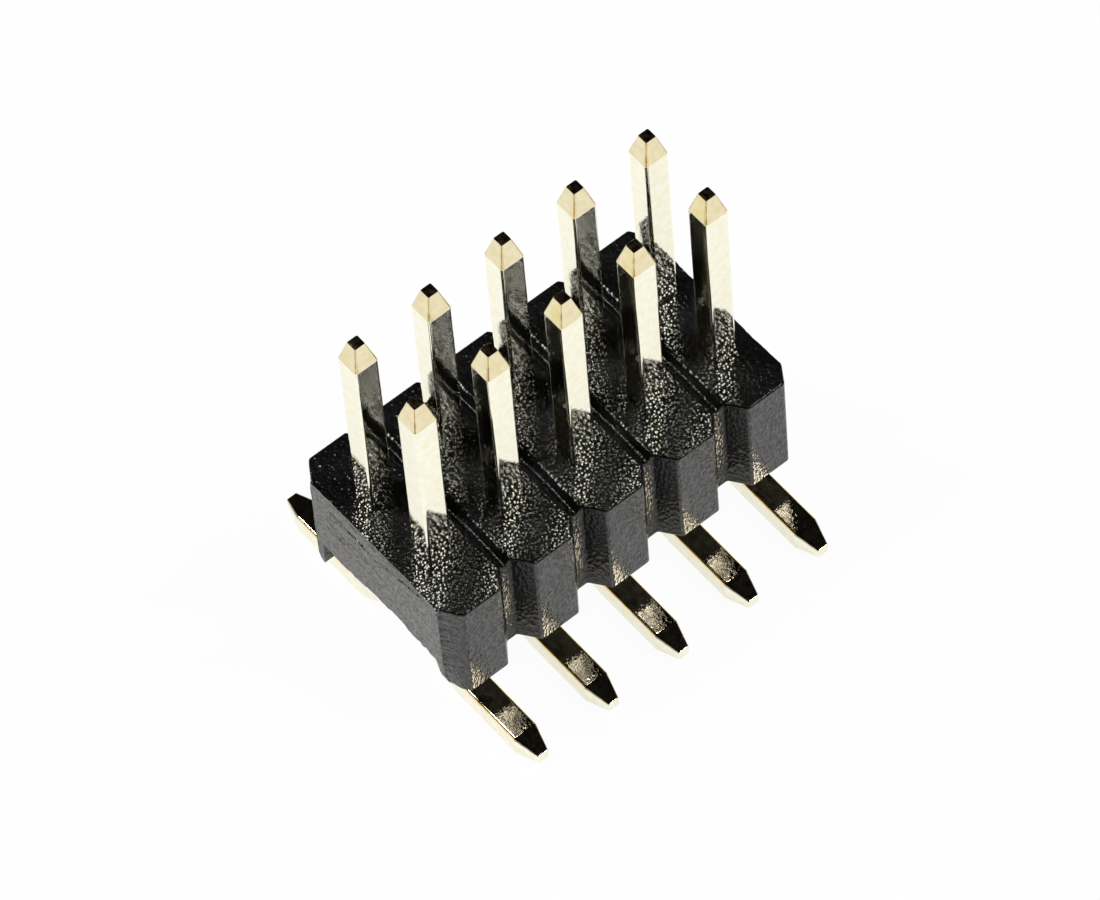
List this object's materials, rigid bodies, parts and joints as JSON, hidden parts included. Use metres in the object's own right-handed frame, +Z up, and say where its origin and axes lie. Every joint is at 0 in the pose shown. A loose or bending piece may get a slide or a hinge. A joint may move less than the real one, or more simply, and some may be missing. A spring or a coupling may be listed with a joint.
{
  "type": "pin header",
  "caption": "Dual-row surface-mount pin header with long square posts above a notched insulator and bent solder feet below.",
  "frame": {"origin": "middle of the pin grid, on the plane that the undersides of the solder feet rest on", "axes": "+X across the two rows, +Y along the strip from the torn near end, +Z up along the posts"},
  "size_m": [0.0056, 0.0061, 0.0067],
  "materials": {
    "insulator": "fine grained moulded black",
    "plated_wire": "bright gold plating"
  },
  "bodies": {
    "root": {"body": "insulator", "pin_left_1": "plated_wire", "pin_left_2": "plated_wire", "pin_left_3": "plated_wire", "pin_left_4": "plated_wire", "pin_left_5": "plated_wire", "pin_right_1": "plated_wire", "pin_right_2": "plated_wire", "pin_right_3": "plated_wire", "pin_right_4": "plated_wire", "pin_right_5": "plated_wire"}
  },
  "joints": []
}
